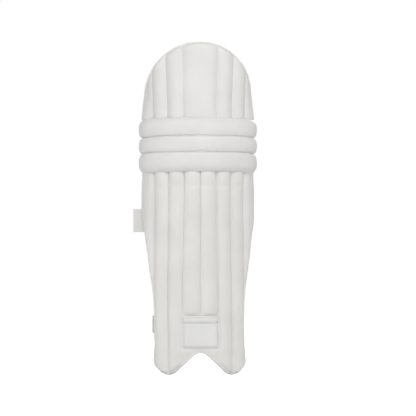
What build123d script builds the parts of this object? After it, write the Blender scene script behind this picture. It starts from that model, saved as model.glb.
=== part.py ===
from build123d import *

import os
from math import asin, cos, degrees, radians, sin, sqrt

os.makedirs("parts", exist_ok=True)

# Cricket batting leg pad, worn on the front of the leg. Millimetres.
# +Z up the leg, -Y is the face that meets the ball, the origin is on the leg's axis at knee height.

# --- plan of the leg channel: one wide front arc, two tight corner arcs, straight side walls ---
front_radius = 150.0        # outside of the backing across the shin
front_depth = 95.0          # leg axis to the outside of the backing, at the front
channel_pitch = 36.5        # seam to seam, measured round the backing
corner_radius = 48.0
side_edge = 8.0             # the side walls end this far in front of the leg axis

# --- layers, from the front inwards ---
gap = 0.3                   # between neighbouring layers
facing = 1.2                # polyurethane facing
backing = 8.0               # closed-cell foam sheet behind the channels
lining = 1.5                # quilted lining on the leg side
bolster = 14.0              # padding that stands on the lining
channel_rise = 9.0          # crest of a channel above the backing
bevel_lean = 1.0            # 1 makes the channel ends fall away at 45 degrees

# --- heights ---
crown_height = 230.0
crown_radius = 118.0
shoulder_height = 139.0     # the crown meets the side walls here
shoulder_depth = 50.0       # the side walls' top corner is cut back to here
shoulder_top = 162.0
knee_top = 62.0
knee_upper_seam = 21.0
knee_lower_seam = -14.0
knee_bottom = -58.5
taper_start = -165.0        # the front outline starts to narrow to the ankle
sweep_start = -192.0        # the side walls start to sweep forward
sweep_end = -330.0
calf_mid_height = -234.0
shin_height = -313.0
ankle_height = -366.0
channel_end = -374.0        # the two middle channels stop above the instep
arch_apex = -456.0
lobe_corner = -478.0
lobe_bottom = -512.0        # where the straight edges of a lobe would meet
kick_start = -300.0         # below this the pad kicks forward over the boot
kick_middle = -400.0        # and below this twice as steeply
kick_slope = 0.1            # forward for each millimetre down
kick_end = -540.0
mitre_room = 20.0           # how far the leaning runs of the wall overlap before they are mitred

# --- front outline ---
calf_half = 126.0
calf_mid_half = 116.0
shin_half = 102.6
ankle_half = 98.5
foot_half = 100.6
lobe_x = 71.0
lobe_radius = 20.0
arch_radius = 25.0
arch_slope = 42.0           # degrees below level
sweep_depth = 48.0
binding_width = 4.0
binding_rise = 2.4
reach = 400.0               # past every piece of the pad

# --- knee rolls ---
knee_roll_side = 14.5       # crest above the backing at the sides
knee_roll_proud = 7.5       # how much further it stands out at the front
knee_roll_round = 13.0
knee_roll_facet = 8.0
body_gap = 0.4              # between stacked pieces that part as the knee bends

# --- stiffeners in the channels ---
cane_width = 14.0
cane_depth = 3.0
cane_stand_off = 2.5
cane_inset = 6.0

# --- instep ---
instep_roll_height = 14.0
instep_roll_rise = 7.0
instep_half = 35.0
instep_roll_middle = -384.0
instep_panel_top = -393.0
instep_panel_depth = 4.0
instep_margin = 8.0
patch_half = 34.0
patch_height = 46.0
patch_middle = -419.0
patch_depth = 1.0
patch_round = 5.0

# --- leg-side padding ---
bolster_round = 12.0
# name, distance from the middle, middle height, width, height
shin_bolsters = [
    ("shin_bolster", 0.0, -250.0, 44.0, 250.0),
    ("calf_bolster_left", -60.0, -200.0, 36.0, 300.0),
    ("calf_bolster_right", 60.0, -200.0, 36.0, 300.0),
]
hat_bolsters = [
    ("knee_bolster_left", -60.0, 72.0, 44.0, 90.0),
    ("knee_bolster_right", 60.0, 72.0, 44.0, 90.0),
]

# --- wings and straps ---
wing_inside = 88.0
wing_depth = 8.0
wing_top = -60.0
wing_bottom = -440.0
wing_round = 16.0
strap_width = 38.0
strap_depth = 3.0
pile = 1.2                  # one half of the hook-and-loop fastening
anchor_length = 42.0
tip_length = 38.0
# name, middle height, back edge of the wing there, how far the band stands behind it
straps = [
    ("knee", -86.0, 36.0, 32.0),
    ("calf", -215.0, 41.0, 34.0),
    ("ankle", -395.0, 6.0, 40.0),
]

# --- side label tab ---
tab_height = 51.0
tab_reach = 17.0
tab_depth = 1.2
tab_middle = -165.0
tab_root = 4.0

front_centre = front_radius - front_depth
pitch_angle = degrees(channel_pitch / front_radius)
front_angle = 3 * pitch_angle
corner_x = (front_radius - corner_radius) * sin(radians(front_angle))
corner_y = front_centre - (front_radius - corner_radius) * cos(radians(front_angle))
side_x = corner_x + corner_radius
lining_out = -gap - backing - gap
lining_face = lining_out - lining
bolster_out = lining_face - gap
crown_centre = crown_height - crown_radius
panel_inset = binding_width + gap
shoulder_run = (shoulder_top - knee_top) / 2


def front_point(pitches, out=0.0, height=0.0):
    """Point `pitches` seams round the front arc, `out` above the backing."""
    angle = radians(pitches * pitch_angle)
    radius = front_radius + out
    return Vector(radius * sin(angle), front_centre - radius * cos(angle), height)


def front_normal(pitches):
    """Outward direction there."""
    angle = radians(pitches * pitch_angle)
    return Vector(sin(angle), -cos(angle), 0)


def leg_plan(out=0.0, proud=0.0):
    """Filled plan of the leg channel grown by `out`, and by `proud` more at the front."""
    front = front_radius + out
    corner = corner_radius + out
    front_y = front - front_depth - out - proud
    turn_y = front_y - sqrt((front - corner) ** 2 - corner_x**2)
    with BuildSketch() as plan:
        with BuildLine():
            CenterArc((0, front_y), front, -90 - front_angle, 2 * front_angle)
            for side, start in ((1, front_angle - 90), (-1, 180)):
                CenterArc((side * corner_x, turn_y), corner, start, 90 - front_angle)
                edge = side * (side_x + out)
                Polyline((edge, turn_y), (edge, reach / 2), (0, reach / 2))
        make_face()
    return plan.sketch


def kick(height):
    """How far forward the pad has kicked at a height."""
    return kick_slope * (max(0, kick_start - height) + max(0, kick_middle - height))


def lean(joint, slope):
    """Plane square to the wall where it leans forward by `slope` below a joint on its front."""
    back = Vector(0, 1, -slope).normalized()
    return Plane(joint + back * front_depth, x_dir=(1, 0, 0), z_dir=(0, slope, 1))


def upright(plan, top):
    """Raises a plan to `top`, and leads it down and forward below the kick in two mitred runs."""
    joints = [Vector(0, -front_depth - kick(height), height) for height in (kick_start, kick_middle)]
    slopes = (0, kick_slope, 2 * kick_slope)
    ends = (kick_start - mitre_room, kick_middle - mitre_room, kick_end)
    tops = (top, kick_start + mitre_room, kick_middle + mitre_room)
    mitres = [
        Plane(joint, x_dir=(1, 0, 0), z_dir=lean(joint, above).z_dir + lean(joint, below).z_dir)
        for joint, above, below in zip(joints, slopes, slopes[1:])
    ]
    runs = []
    for number, slope in enumerate(slopes):
        joint = joints[max(0, number - 1)]
        with BuildPart() as run:
            with BuildSketch(lean(joint, slope).offset(ends[number] - joint.Z)):
                add(plan)
            extrude(amount=tops[number] - ends[number])
            if number > 0:
                split(bisect_by=mitres[number - 1], keep=Keep.BOTTOM)
            if number < len(mitres):
                split(bisect_by=mitres[number], keep=Keep.TOP)
        runs.append(run.part)
    with BuildPart() as body:
        for part in runs:
            add(part)
    return body.part


def core(out, top):
    """The whole space inside one offset of the leg channel."""
    return upright(leg_plan(out), top)


def wall(inner, outer, top):
    """Wall between two offsets of the leg channel, down to below the boot."""
    with BuildSketch() as plan:
        add(leg_plan(outer))
        add(leg_plan(inner), mode=Mode.SUBTRACT)
    return upright(plan.sketch, top)


def band(inner, outer, low, high, proud=0.0):
    """Level band of the wall between two heights above the kick."""
    with BuildPart() as body:
        with BuildSketch(Plane.XY.offset(low)):
            add(leg_plan(outer, proud))
            add(leg_plan(inner), mode=Mode.SUBTRACT)
        extrude(amount=high - low)
    return body.part


def outline(inset):
    """Space inside the pad's edge: the front outline crossed with the side outline, `inset` in."""
    crown_end = degrees(asin((shoulder_height - crown_centre) / crown_radius))
    arch_centre = (0, arch_apex - arch_radius)
    with BuildPart() as body:
        with BuildSketch(Plane.XZ):
            with BuildLine():
                crown = CenterArc((0, crown_centre), crown_radius, crown_end, 90 - crown_end)
                Polyline(
                    crown @ 0, (reach / 2, shoulder_height),
                    (reach / 2, taper_start), (calf_half, taper_start),
                )
                ThreePointArc(
                    (calf_half, taper_start), (calf_mid_half, calf_mid_height), (shin_half, shin_height)
                )
                foot = (foot_half, lobe_corner + lobe_radius)
                ThreePointArc((shin_half, shin_height), (ankle_half, ankle_height), foot)
                arch = CenterArc(arch_centre, arch_radius, 90 - arch_slope, arch_slope)
                FilletPolyline(
                    foot, (foot_half, lobe_corner), (lobe_x, lobe_bottom), arch @ 0,
                    radius=lobe_radius,
                )
                mirror(about=Plane.YZ)
            make_face()
            if inset:
                offset(amount=-inset)
        extrude(amount=reach, both=True)
        with BuildSketch(Plane.YZ):
            with BuildLine():
                shoulder = TangentArc(
                    (-side_edge, knee_top), (-shoulder_depth, shoulder_top), tangent=(0, 1)
                )
                middle = (-(side_edge + sweep_depth) / 2, (sweep_start + sweep_end) / 2)
                sweep = TangentArc((-side_edge, sweep_start), middle, tangent=(0, -1))
                TangentArc(middle, (-sweep_depth, sweep_end), tangent=sweep % 1)
                Line(shoulder @ 0, sweep @ 0)
                Polyline(
                    (-sweep_depth, sweep_end), (-sweep_depth, -2 * reach), (-reach, -2 * reach),
                    (-reach, reach), (-shoulder_depth, reach), shoulder @ 1,
                )
            make_face()
            if inset:
                offset(amount=-inset)
        extrude(amount=reach, both=True, mode=Mode.INTERSECT)
    return body.part


def seam_circle(left, crest, right):
    """Centre and radius of the circle through two seams and the crest between them."""
    arc = Edge.make_three_point_arc(left, crest, right)
    return arc.arc_center, arc.radius


def front_channel(first, last):
    """Circle of the channel between two seams of the front arc."""
    crest = front_point((first + last) / 2, channel_rise)
    return seam_circle(front_point(first, facing), crest, front_point(last, facing))


def side_channel(side):
    """Circle of the channel that goes round one corner to the side edge."""
    middle = radians((90 - front_angle) / 2)
    out = corner_radius + channel_rise
    crest = Vector(side * (corner_x + out * cos(middle)), corner_y - out * sin(middle))
    seam = front_point(3 * side, facing)
    edge = Vector(side * (side_x + facing), -side_edge)
    return seam_circle(seam, crest, edge)


def bevel(point, edge_normal, out_normal):
    """Plane that lets a channel fall away to the backing at an edge of the pad."""
    return Plane(point, z_dir=edge_normal.normalized() + out_normal.normalized() * bevel_lean)


def crown_bevel(pitches):
    """Bevel of a front channel at the crown."""
    point = front_point(pitches)
    radius = crown_radius - panel_inset
    height = sqrt(radius**2 - point.X**2)
    point.Z = crown_centre + height
    return bevel(point, Vector(point.X, 0, height), front_normal(pitches))


def shoulder_bevel(side):
    """Bevel of a side channel under the crown."""
    out = Vector(side * cos(radians(front_angle / 2)), -sin(radians(front_angle / 2)), 0)
    point = Vector(side * side_x, (corner_y - side_edge) / 2, knee_top + shoulder_run)
    return bevel(point, Vector(0, shoulder_run, shoulder_depth), out)


def sweep_bevel(side):
    """Bevel of a side channel where its wall sweeps forward to the ankle."""
    top = Vector(side * side_x, -side_edge, taper_start)
    low = front_point(3 * side, 0, sweep_end)
    out = Vector(side, -sin(radians(front_angle)), 0)
    edge = (low - top).cross(out) * -side
    return bevel((top + low) / 2, edge, out)


def kicked(point):
    """Where a point of the straight wall lands when the wall kicks forward."""
    return Vector(point.X, point.Y - kick(point.Z), point.Z)


def arch_bevel(pitches):
    """Bevel of a front channel beside the arch."""
    slope = radians(arch_slope)
    point = front_point(pitches, 0, arch_apex)
    apex_x = arch_radius * sin(slope) / 2
    point.Z = arch_apex - (abs(point.X) - apex_x) * sin(slope) / cos(slope) + panel_inset
    side = 1 if pitches > 0 else -1
    return bevel(kicked(point), Vector(-side * sin(slope), 0, -cos(slope)), front_normal(pitches))


def lobe_bevel(pitches):
    """Bevel of a front channel at the outer corner of a lobe."""
    side = 1 if pitches > 0 else -1
    point = Vector(side * (lobe_x + foot_half) / 2, 0, (lobe_bottom + lobe_corner) / 2 + panel_inset)
    point.Y = front_point(pitches).Y
    edge = Vector(side * (lobe_corner - lobe_bottom), 0, lobe_x - foot_half)
    return bevel(kicked(point), edge, front_normal(pitches))


def middle_bevel(pitches):
    """Bevel at the lower end of the middle channels."""
    return bevel(kicked(front_point(pitches, 0, channel_end)), Vector(0, 0, -1), front_normal(pitches))


shin_top = knee_bottom - gap
hat_low = knee_top + gap
# circle and bevels of each channel, from left to right
shin_channels = [(side_channel(-1), [sweep_bevel(-1)])]
for first in range(-3, 3):
    pitches = first + 0.5
    end = {2.5: lobe_bevel, 1.5: arch_bevel, 0.5: middle_bevel}[abs(pitches)]
    shin_channels.append((front_channel(first, first + 1), [end(pitches)]))
shin_channels.append((side_channel(1), [sweep_bevel(1)]))

hat_channels = [(side_channel(-1), [shoulder_bevel(-1)])]
for first, last in ((-3, -2), (-2, -1), (-1, 1), (1, 2), (2, 3)):
    hat_channels.append((front_channel(first, last), [crown_bevel((first + last) / 2)]))
hat_channels.append((side_channel(1), [shoulder_bevel(1)]))


def bevelled(body, bevels, shrink):
    """Cuts a channel's ends to their bevels, drawn in by `shrink`."""
    with BuildPart() as cut:
        add(body)
        for plane in bevels:
            split(bisect_by=plane.offset(-shrink), keep=Keep.BOTTOM)
    return cut.part


def shin_channel(circle, bevels, shrink=0.0):
    """Channel of the shin, `shrink` smaller all round."""
    centre, radius = circle
    with BuildSketch() as plan:
        with Locations(centre):
            Circle(radius - shrink)
    return bevelled(upright(plan.sketch, shin_top), bevels, shrink)


def hat_channel(circle, bevels, shrink=0.0):
    """Channel of the top hat, `shrink` smaller all round."""
    centre, radius = circle
    with BuildPart() as body:
        with BuildSketch(Plane.XY.offset(hat_low)):
            with Locations(centre):
                Circle(radius - shrink)
        extrude(amount=crown_height)
    return bevelled(body.part, bevels, shrink)


def write(piece, name):
    """Labels a finished piece and writes it."""
    piece.part.label = name
    export_step(piece.part, f"parts/{name}.step")


panel_edge = outline(panel_inset)
skin_edge = outline(panel_inset + facing)
foam_edge = outline(panel_inset + facing + gap)
pad_edge = outline(0)
binding_inner = outline(binding_width)

# ===== shin =====

# facing: one skin that follows the backing, rises over every channel and closes at its edges
with BuildPart() as shin_spaces:
    for circle, bevels in shin_channels:
        add(shin_channel(circle, bevels, facing))
    add(skin_edge, mode=Mode.INTERSECT)

with BuildPart() as shin_facing:
    add(wall(0, facing, shin_top))
    for circle, bevels in shin_channels:
        add(shin_channel(circle, bevels))
    add(core(0, shin_top), mode=Mode.SUBTRACT)
    add(panel_edge, mode=Mode.INTERSECT)
    add(shin_spaces.part, mode=Mode.SUBTRACT)
write(shin_facing, "shin_facing")

# split-cane strips in the six front channels, standing off the backing
cane_centre = cane_stand_off + cane_depth / 2


def cane_plan(channels, grow=0.0):
    """Plan of the strips, one in the middle of each front channel."""
    with BuildSketch() as plan:
        for first, last in channels:
            middle = (first + last) / 2
            turn = middle * pitch_angle
            with Locations(Location(front_point(middle, cane_centre), (0, 0, turn))):
                Rectangle(cane_width + 2 * grow, cane_depth + 2 * grow)
    return plan.sketch


shin_pairs = [(first, first + 1) for first in range(-3, 3)]
hat_pairs = [(-3, -2), (-2, -1), (-1, 1), (1, 2), (2, 3)]

with BuildPart() as shin_canes:
    with BuildSketch(Plane.XY.offset(kick_start)):
        add(cane_plan(shin_pairs))
    extrude(amount=shin_top - cane_inset - kick_start)
write(shin_canes, "shin_canes")

with BuildPart() as shin_slots:
    with BuildSketch(Plane.XY.offset(kick_start - gap)):
        add(cane_plan(shin_pairs, gap))
    extrude(amount=reach)

# foam rolls, one in each channel, slotted from the top for the cane strips
shin_core = core(gap, shin_top)
for number, (circle, bevels) in enumerate(shin_channels, start=1):
    with BuildPart() as shin_roll:
        add(shin_channel(circle, bevels, facing + gap))
        add(shin_core, mode=Mode.SUBTRACT)
        add(foam_edge, mode=Mode.INTERSECT)
        add(shin_slots.part, mode=Mode.SUBTRACT)
    write(shin_roll, f"shin_roll_{number}")

with BuildPart() as shin_backing:
    add(wall(-gap - backing, -gap, knee_lower_seam - body_gap))
    add(panel_edge, mode=Mode.INTERSECT)
write(shin_backing, "shin_backing")

with BuildPart() as shin_lining:
    add(wall(lining_face, lining_out, knee_lower_seam - body_gap))
    add(panel_edge, mode=Mode.INTERSECT)
write(shin_lining, "shin_lining")

with BuildPart() as shin_binding:
    add(wall(lining_face, binding_rise, shin_top))
    add(pad_edge, mode=Mode.INTERSECT)
    add(binding_inner, mode=Mode.SUBTRACT)
write(shin_binding, "shin_binding")


def front_pad(inner, outer, top, x, z, width, height, corner):
    """Piece of the wall inside a rounded rectangle in the front view."""
    with BuildPart() as body:
        add(wall(inner, outer, top))
        with BuildSketch(Plane.XZ):
            with Locations((x, z)):
                RectangleRounded(width, height, corner)
        extrude(amount=reach, both=True, mode=Mode.INTERSECT)
    return body.part


roll_back = facing + gap
with BuildPart() as instep_roll:
    add(front_pad(
        roll_back, roll_back + instep_roll_rise, channel_end, 0, instep_roll_middle,
        2 * instep_half, instep_roll_height, instep_roll_height / 2 - gap,
    ))
write(instep_roll, "instep_roll")

panel_height = instep_panel_top - arch_apex
with BuildPart() as instep_panel:
    add(front_pad(
        roll_back, roll_back + instep_panel_depth, channel_end, 0, instep_panel_top - panel_height / 2,
        2 * instep_half, panel_height, patch_round,
    ))
    add(outline(instep_margin), mode=Mode.INTERSECT)
write(instep_panel, "instep_panel")

patch_back = roll_back + instep_panel_depth + gap
with BuildPart() as instep_patch:
    add(front_pad(
        patch_back, patch_back + patch_depth, channel_end, 0, patch_middle,
        2 * patch_half, patch_height, patch_round,
    ))
write(instep_patch, "instep_patch")

# folded label tab, sewn to the back of the binding and bare
with BuildPart() as side_label_tab:
    with BuildSketch(Plane.XZ.offset(side_edge)):
        with Locations((-(side_x - tab_root), tab_middle)):
            Rectangle(tab_root + tab_reach + channel_rise, tab_height, align=(Align.MAX, Align.CENTER))
    extrude(amount=-tab_depth)
write(side_label_tab, "side_label_tab")

# padding on the leg side
for name, x, z, width, height in shin_bolsters:
    with BuildPart() as shin_bolster:
        add(front_pad(
            bolster_out - bolster, bolster_out, knee_lower_seam, x, z, width, height, bolster_round,
        ))
    write(shin_bolster, name)

# ===== knee =====


def height_over_backing(point):
    """How far a plan point above the backing stands off it."""
    x = abs(point.X)
    if point.Y > corner_y:
        return x - side_x
    if degrees(asin(min(1, x / (front_centre - point.Y)))) < front_angle:
        return sqrt(x**2 + (point.Y - front_centre) ** 2) - front_radius
    return sqrt((x - corner_x) ** 2 + (point.Y - corner_y) ** 2) - corner_radius


def outer_edges(edges):
    """The edges that stand off the backing."""
    return [edge for edge in edges if height_over_backing(edge @ 0.5) > 3 * gap]


def knee_roll(low, high):
    """Padded roll across the knee, faceted round over its front and rounded at its two ends."""
    with BuildPart() as body:
        add(band(gap, knee_roll_side, low, high, knee_roll_proud))
        with BuildSketch(Plane.XY.offset(low)):
            with Locations((0, -side_edge)):
                Rectangle(reach, reach, align=(Align.CENTER, Align.MAX))
        extrude(amount=high - low, mode=Mode.INTERSECT)
        ends = body.edges().filter_by(Axis.Z).group_by(Axis.Y)[-1]
        fillet(outer_edges(ends), radius=knee_roll_round)
        rims = body.edges().filter_by(Plane.XY).group_by(Axis.Z)
        chamfer(outer_edges(rims[0] + rims[-1]), length=knee_roll_facet)
    return body.part


seam_half = body_gap / 2
rolls = [
    ("knee_roll_lower", knee_bottom, knee_lower_seam - seam_half),
    ("knee_roll_middle", knee_lower_seam + seam_half, knee_upper_seam - seam_half),
    ("knee_roll_upper", knee_upper_seam + seam_half, knee_top),
]
for name, low, high in rolls:
    with BuildPart() as roll:
        add(knee_roll(low, high))
    write(roll, name)

knee_low = knee_lower_seam
knee_high = knee_upper_seam - body_gap
with BuildPart() as knee_backing:
    add(band(-gap - backing, -gap, knee_low, knee_high))
    add(panel_edge, mode=Mode.INTERSECT)
write(knee_backing, "knee_backing")

with BuildPart() as knee_lining:
    add(band(lining_face, lining_out, knee_low, knee_high))
    add(panel_edge, mode=Mode.INTERSECT)
write(knee_lining, "knee_lining")

# ===== top hat =====

with BuildPart() as hat_spaces:
    for circle, bevels in hat_channels:
        add(hat_channel(circle, bevels, facing))
    add(skin_edge, mode=Mode.INTERSECT)

with BuildPart() as top_hat_facing:
    add(band(0, facing, hat_low, crown_height))
    for circle, bevels in hat_channels:
        add(hat_channel(circle, bevels))
    with BuildSketch(Plane.XY.offset(hat_low)):
        add(leg_plan())
    extrude(amount=crown_height, mode=Mode.SUBTRACT)
    add(panel_edge, mode=Mode.INTERSECT)
    add(hat_spaces.part, mode=Mode.SUBTRACT)
write(top_hat_facing, "top_hat_facing")

with BuildPart() as hat_cane_strips:
    with BuildSketch(Plane.XY.offset(hat_low)):
        add(cane_plan(hat_pairs))
    extrude(amount=shoulder_height - hat_low)
write(hat_cane_strips, "top_hat_canes")

with BuildPart() as hat_slots:
    with BuildSketch(Plane.XY.offset(hat_low)):
        add(cane_plan(hat_pairs, gap))
    extrude(amount=shoulder_height + gap - hat_low)

with BuildPart() as hat_core:
    with BuildSketch(Plane.XY.offset(hat_low)):
        add(leg_plan(gap))
    extrude(amount=crown_height)

for number, (circle, bevels) in enumerate(hat_channels, start=1):
    with BuildPart() as top_hat_roll:
        add(hat_channel(circle, bevels, facing + gap))
        add(hat_core.part, mode=Mode.SUBTRACT)
        add(foam_edge, mode=Mode.INTERSECT)
        add(hat_slots.part, mode=Mode.SUBTRACT)
    write(top_hat_roll, f"top_hat_roll_{number}")

with BuildPart() as top_hat_backing:
    add(band(-gap - backing, -gap, knee_upper_seam, crown_height))
    add(panel_edge, mode=Mode.INTERSECT)
write(top_hat_backing, "top_hat_backing")

with BuildPart() as top_hat_lining:
    add(band(lining_face, lining_out, knee_upper_seam, crown_height))
    add(panel_edge, mode=Mode.INTERSECT)
write(top_hat_lining, "top_hat_lining")

with BuildPart() as top_hat_binding:
    add(band(lining_face, binding_rise, hat_low, crown_height))
    add(pad_edge, mode=Mode.INTERSECT)
    add(binding_inner, mode=Mode.SUBTRACT)
write(top_hat_binding, "top_hat_binding")

for name, x, z, width, height in hat_bolsters:
    with BuildPart() as knee_bolster:
        add(front_pad(
            bolster_out - bolster, bolster_out, crown_height, x, z, width, height, bolster_round,
        ))
    write(knee_bolster, name)

# ===== wings and straps =====

wing_outside = wing_inside + wing_depth


def wing_plan():
    """Side view of a wing, its back edge running past the ends of the straps."""
    half = strap_width / 2
    edges = []
    for name, height, edge, stand in straps:
        edges += [(edge, height + half), (edge, height - half)]
    front = -2 * front_depth
    with BuildSketch() as plan:
        with BuildLine():
            FilletPolyline(
                (front, wing_top), (edges[0][0], wing_top), *edges[1:-1],
                (edges[-1][0], wing_bottom), (front, wing_bottom),
                radius=wing_round,
            )
            Line((front, wing_top), (front, wing_bottom))
        make_face()
    return plan.sketch


leg_space = core(bolster_out, knee_lower_seam)
for side, name in ((-1, "wing_left"), (1, "wing_right")):
    with BuildPart() as wing:
        with BuildSketch(Plane.YZ.offset(side * wing_inside)):
            add(wing_plan())
        extrude(amount=side * wing_depth)
        add(leg_space, mode=Mode.INTERSECT)
    write(wing, name)


def side_strip(x, depth, back, length, middle, height, corner=0.0):
    """Flat strip against a wing, `length` forward of its back end, with rounded front corners."""
    with BuildPart() as body:
        with BuildSketch(Plane.YZ.offset(x)) as plan:
            with Locations((back, middle)):
                Rectangle(length, height, align=(Align.MAX, Align.CENTER))
            if corner:
                fillet(plan.vertices().group_by(Axis.X)[0], radius=corner)
        extrude(amount=depth)
    return body.part


strap_left = -(wing_outside + strap_depth)
tip_inside = wing_outside + 2 * pile + gap
strap_right = tip_inside + strap_depth
strap_middle = (strap_left + strap_right) / 2
strap_half = (strap_right - strap_left) / 2
for name, height, edge, stand in straps:
    with BuildPart() as strap_anchor:
        add(side_strip(
            strap_left, strap_depth, edge, anchor_length, height, strap_width, patch_round
        ))
    write(strap_anchor, f"{name}_strap_anchor")

    with BuildPart() as strap_band:
        with BuildSketch(Plane.XY.offset(height - strap_width / 2)):
            for inset, mode in ((0, Mode.ADD), (strap_depth, Mode.SUBTRACT)):
                with BuildSketch(mode=Mode.PRIVATE) as half_ellipse:
                    with Locations((strap_middle, edge + gap)):
                        Ellipse(strap_half - inset, stand + strap_depth - inset)
                        Rectangle(
                            reach, reach, align=(Align.CENTER, Align.MAX), mode=Mode.SUBTRACT
                        )
                add(half_ellipse.sketch, mode=mode)
        extrude(amount=strap_width)
    write(strap_band, f"{name}_strap_band")

    with BuildPart() as strap_tip:
        add(side_strip(
            tip_inside, strap_depth, edge, tip_length, height, strap_width, patch_round
        ))
    write(strap_tip, f"{name}_strap_tip")

    with BuildPart() as hook_patch:
        add(side_strip(
            tip_inside - pile, pile, edge - patch_round, tip_length - 2 * patch_round, height,
            strap_width - patch_round,
        ))
    write(hook_patch, f"{name}_hook_patch")

    with BuildPart() as loop_patch:
        add(side_strip(
            wing_outside, pile, edge - gap, tip_length - gap, height, strap_width,
        ))
    write(loop_patch, f"{name}_loop_patch")
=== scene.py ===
import bpy, bmesh, cmath, math
import numpy as np
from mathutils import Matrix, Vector, noise


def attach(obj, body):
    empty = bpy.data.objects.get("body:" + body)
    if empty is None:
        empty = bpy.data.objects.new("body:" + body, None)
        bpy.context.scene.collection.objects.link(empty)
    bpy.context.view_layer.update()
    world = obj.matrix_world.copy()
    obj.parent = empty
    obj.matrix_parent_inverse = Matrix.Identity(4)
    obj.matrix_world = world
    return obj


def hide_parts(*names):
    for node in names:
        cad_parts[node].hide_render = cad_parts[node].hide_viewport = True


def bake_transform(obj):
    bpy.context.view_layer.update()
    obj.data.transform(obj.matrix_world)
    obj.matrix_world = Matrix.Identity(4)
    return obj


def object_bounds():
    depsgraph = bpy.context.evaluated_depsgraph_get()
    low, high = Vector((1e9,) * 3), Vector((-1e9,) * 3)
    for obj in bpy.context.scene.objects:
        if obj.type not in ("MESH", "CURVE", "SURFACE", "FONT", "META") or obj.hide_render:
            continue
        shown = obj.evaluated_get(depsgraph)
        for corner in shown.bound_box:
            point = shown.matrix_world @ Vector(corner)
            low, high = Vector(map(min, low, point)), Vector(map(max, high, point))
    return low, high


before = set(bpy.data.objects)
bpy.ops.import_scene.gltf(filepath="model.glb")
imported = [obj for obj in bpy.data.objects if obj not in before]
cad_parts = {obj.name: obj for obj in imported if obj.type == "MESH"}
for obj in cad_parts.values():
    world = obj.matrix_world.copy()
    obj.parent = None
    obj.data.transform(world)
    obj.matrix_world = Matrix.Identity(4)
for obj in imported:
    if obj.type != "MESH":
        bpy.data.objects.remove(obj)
cad_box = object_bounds()
MM = 0.001

# Sizes in millimetres, as in the part's source.
FRONT_R, FRONT_DEPTH, PITCH, CORNER_R, SIDE_EDGE = 150.0, 95.0, 36.5, 48.0, 8.0
GAP, FACING, BACKING, LINING, BOLSTER, RISE = 0.3, 1.2, 8.0, 1.5, 14.0, 9.0
CROWN_TOP, CROWN_R, SHOULDER, SHOULDER_DEPTH, SHOULDER_TOP = 230.0, 118.0, 139.0, 50.0, 162.0
KNEE_TOP, UPPER_SEAM, LOWER_SEAM, KNEE_BOTTOM = 62.0, 21.0, -14.0, -58.5
TAPER, SWEEP_START, SWEEP_END, SWEEP_DEPTH = -165.0, -192.0, -330.0, 48.0
CALF_MID, SHIN, ANKLE = (116.0, -234.0), (102.6, -313.0), (98.5, -366.0)
CALF_HALF, FOOT_HALF, LOBE_X, LOBE_R = 126.0, 100.6, 71.0, 20.0
LOBE_CORNER, LOBE_BOTTOM = -478.0, -512.0
ARCH_APEX, ARCH_R, ARCH_SLOPE, CHANNEL_END = -456.0, 25.0, 42.0, -374.0
KICK_START, KICK_MIDDLE, KICK_SLOPE = -300.0, -400.0, 0.1
BIND, BIND_RISE, PIPING, EDGE_OUT = 4.0, 2.6, 2.4, -1.0
ROLL_SIDE, ROLL_PROUD, ROLL_ROUND, KNEE_BOW = 14.5, 7.5, 13.0, 3.0
TAB_HEIGHT = 51.0
WING_IN, WING_DEPTH, WING_TOP, WING_BOTTOM, WING_ROUND = 88.0, 8.0, -60.0, -440.0, 16.0
STRAP_W, STRAP_D, PILE, ANCHOR, TIP = 38.0, 3.0, 1.2, 42.0, 38.0
# Each strap: its name, its height, the wings' rear edge there, and how far its arc stands off behind.
STRAPS = (("knee", -86.0, 36.0, 32.0), ("calf", -215.0, 41.0, 34.0), ("ankle", -395.0, 6.0, 40.0))

CENTRE = FRONT_R - FRONT_DEPTH
FRONT_SEAMS = 3  # each side of the middle: the third is where the front curve ends
FRONT_RUN = FRONT_SEAMS * PITCH
TURN = FRONT_RUN / FRONT_R
CORNER_X = (FRONT_R - CORNER_R) * math.sin(TURN)
CORNER_Y = CENTRE - (FRONT_R - CORNER_R) * math.cos(TURN)
SIDE_X = CORNER_X + CORNER_R
CORNER_RUN = CORNER_R * (math.pi / 2 - TURN)
WALL_END = FRONT_RUN + CORNER_RUN - CORNER_Y - SIDE_EDGE
LINING_OUT = -GAP - BACKING - GAP
LINING_FACE = LINING_OUT - LINING
BOLSTER_OUT = LINING_FACE - GAP
COUNT_END = WALL_END / PITCH
COVER_END = COUNT_END + 0.15

# Where the scene follows the photograph more closely than the solids do.
KICK_SOFT, KICK_REACH = 200.0, 60.0
SHOULDER_CUT, SHOULDER_CUT_Z = 4.5, 95
EDGE_OUT_SHIN, EDGE_OUT_HAT, EDGE_OUT_TURN = 7.5, 1.5, 0.5
LOBE_CUT, LOBE_CUT_S, LOBE_CUT_Z = 3.2, 74, -462
CREASE_Z = -88
BEYOND = 200.0  # outside the walls, whose rear edge side_edge() cuts


# ---------- the pad's surface ----------

def smooth(t):
    t = np.clip(t, 0, 1)
    return t * t * (3 - 2 * t)


def kick(z):
    """How far forward the pad has kicked at a height: two slopes, each with a soft start."""
    def ramp(t):
        return 0.5 * (t + np.sqrt(t * t + KICK_SOFT)) * (t > -KICK_REACH)
    return KICK_SLOPE * (ramp(KICK_START - z) + ramp(KICK_MIDDLE - z))


def heading(s):
    """Angle of the outward normal from straight ahead, s round the backing from the front."""
    a = np.abs(s)
    t = np.where(a < FRONT_RUN, a / FRONT_R, TURN + (a - FRONT_RUN) / CORNER_R)
    return np.minimum(t, math.pi / 2) * np.sign(s)


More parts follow.
